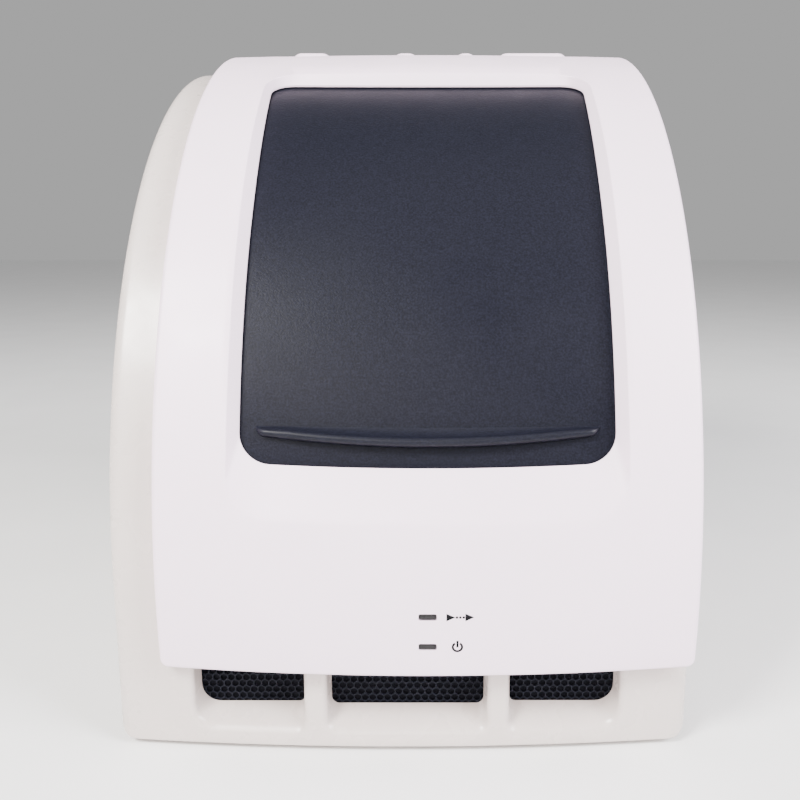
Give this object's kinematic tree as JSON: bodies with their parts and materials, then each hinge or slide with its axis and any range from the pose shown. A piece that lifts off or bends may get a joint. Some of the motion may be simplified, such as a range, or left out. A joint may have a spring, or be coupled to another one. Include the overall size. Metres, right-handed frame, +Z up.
{
  "type": "thermal cycler",
  "caption": "Benchtop real-time thermal cycler: white moulded housing with a curved dark door that slides up over a heated lid, a block of wells and front vents.",
  "frame": {"origin": "on the bench, under the middle of the machine's box", "axes": "+Z up, -Y towards the user in front, +X to the user's right"},
  "size_m": [0.332, 0.4599, 0.4384],
  "materials": {
    "housing_white": "fine spark-eroded texture, warm off-white",
    "shield_white": "fine texture, off-white with a faint lilac tint",
    "deck_white": "smooth moulded, off-white",
    "mesh_black": "black coated hexagon mesh",
    "lens_dark": "smoked lens, unlit",
    "foot_rubber": "matte rubber",
    "sheet_steel": "zinc-plated sheet",
    "guard_steel": "bright plated guard",
    "fan_black": "moulded black",
    "moulded_black": "moulded black",
    "track_plastic": "natural acetal",
    "block_metal": "machined",
    "sink_metal": "extruded and machined",
    "peltier_ceramic": "alumina plate",
    "board_green": "solder-masked board",
    "fibre_black": "ribbed jacket",
    "door_dark": "dark blue-grey, grained",
    "handle_dark": "dark blue-grey, satin lip",
    "guide_plastic": "acetal pin",
    "lid_dark": "charcoal, textured",
    "plate_metal": "anodised heated plate",
    "polished_steel": "ground rod",
    "wheel_black": "black anodised disc",
    "rocker_black": "moulded black"
  },
  "bodies": {
    "chassis": {"main_housing": "housing_white", "front_shield": "shield_white", "work_deck": "deck_white", "vent_grille_left": "mesh_black", "vent_grille_middle": "mesh_black", "vent_grille_right": "mesh_black", "run_light_lens": "lens_dark", "power_light_lens": "lens_dark", "foot_front_left": "foot_rubber", "foot_front_right": "foot_rubber", "foot_rear_left": "foot_rubber", "foot_rear_right": "foot_rubber", "base_pan": "sheet_steel", "rear_panel": "sheet_steel", "side_frame_left": "sheet_steel", "side_frame_right": "sheet_steel", "optics_bench": "sheet_steel", "power_supply": "sheet_steel", "lid_bracket_left": "sheet_steel", "lid_bracket_right": "sheet_steel", "data_port": "sheet_steel", "rear_fan_guard": "guard_steel", "rear_fan_frame": "fan_black", "sink_fan_frame": "fan_black", "inlet_module": "moulded_black", "latch_keeper": "moulded_black", "excitation_motor": "moulded_black", "emission_motor": "moulded_black", "door_track_left": "track_plastic", "door_track_right": "track_plastic", "thermal_block": "block_metal", "heat_sink": "sink_metal", "lamp_housing": "sink_metal", "detector_tube": "sink_metal", "peltier_left": "peltier_ceramic", "peltier_right": "peltier_ceramic", "main_board": "board_green", "fibre_bundle": "fibre_black"},
    "door": {"door_panel": "door_dark", "door_handle": "handle_dark", "door_guide_lower_left": "guide_plastic", "door_guide_lower_right": "guide_plastic", "door_guide_upper_left": "guide_plastic", "door_guide_upper_right": "guide_plastic"},
    "lid": {"lid_cover": "lid_dark", "lid_heater_plate": "plate_metal", "lid_hinge_pin": "polished_steel", "scan_rail_front": "polished_steel", "scan_rail_rear": "polished_steel", "scan_motor": "moulded_black"},
    "lid_latch": {"lid_handle": "lid_dark"},
    "beam": {"scan_beam": "sink_metal"},
    "head": {"scan_head": "moulded_black"},
    "lead_screw": {"scan_lead_screw": "polished_steel"},
    "rear_rotor": {"rear_fan_rotor": "fan_black"},
    "sink_rotor": {"sink_fan_rotor": "fan_black"},
    "excitation_wheel": {"excitation_filter_wheel": "wheel_black"},
    "emission_wheel": {"emission_filter_wheel": "wheel_black"},
    "rocker": {"power_rocker": "rocker_black"}
  },
  "joints": [
    {"name": "door_slide", "type": "hinge", "parent": "chassis", "child": "door", "pos_m": [0.0145, 0.1165, 0.099], "axis": [-1, 0, 0], "range_deg": [0, 40]},
    {"name": "lid_lift", "type": "hinge", "parent": "chassis", "child": "lid", "pos_m": [0.0145, -0.035, 0.205], "axis": [-1, 0, 0], "range_deg": [0, 72]},
    {"name": "lid_latch_swing", "type": "hinge", "parent": "lid", "child": "lid_latch", "pos_m": [0.0145, -0.162, 0.218], "axis": [-1, 0, 0], "range_deg": [0, 50]},
    {"name": "scan_x", "type": "slide", "parent": "lid", "child": "beam", "axis": [1, 0, 0], "range_m": [-0.0495, 0.0495]},
    {"name": "scan_y", "type": "slide", "parent": "beam", "child": "head", "axis": [0, 1, 0], "range_m": [-0.0315, 0.0315]},
    {"name": "lead_screw_turn", "type": "hinge", "parent": "lid", "child": "lead_screw", "pos_m": [0.0145, -0.064, 0.208], "axis": [1, 0, 0], "range_deg": [-2226, 2226]},
    {"name": "rear_fan_spin", "type": "hinge", "parent": "chassis", "child": "rear_rotor", "pos_m": [-0.04, 0.1972, 0.25], "axis": [0, 1, 0], "continuous": true},
    {"name": "sink_fan_spin", "type": "hinge", "parent": "chassis", "child": "sink_rotor", "pos_m": [0.0145, -0.105, 0.078], "axis": [0, 0, 1], "continuous": true},
    {"name": "excitation_wheel_turn", "type": "hinge", "parent": "chassis", "child": "excitation_wheel", "pos_m": [0.042, 0.06, 0.275], "axis": [1, 0, 0], "continuous": true},
    {"name": "emission_wheel_turn", "type": "hinge", "parent": "chassis", "child": "emission_wheel", "pos_m": [-0.01, 0.06, 0.275], "axis": [1, 0, 0], "continuous": true},
    {"name": "power_rock", "type": "hinge", "parent": "chassis", "child": "rocker", "pos_m": [-0.079, 0.221, 0.042], "axis": [-1, 0, 0], "range_deg": [0, 16]}
  ],
  "couplings": [
    {"joint": "lead_screw_turn", "follows": "scan_x", "rad_per_m": 785.4}
  ]
}
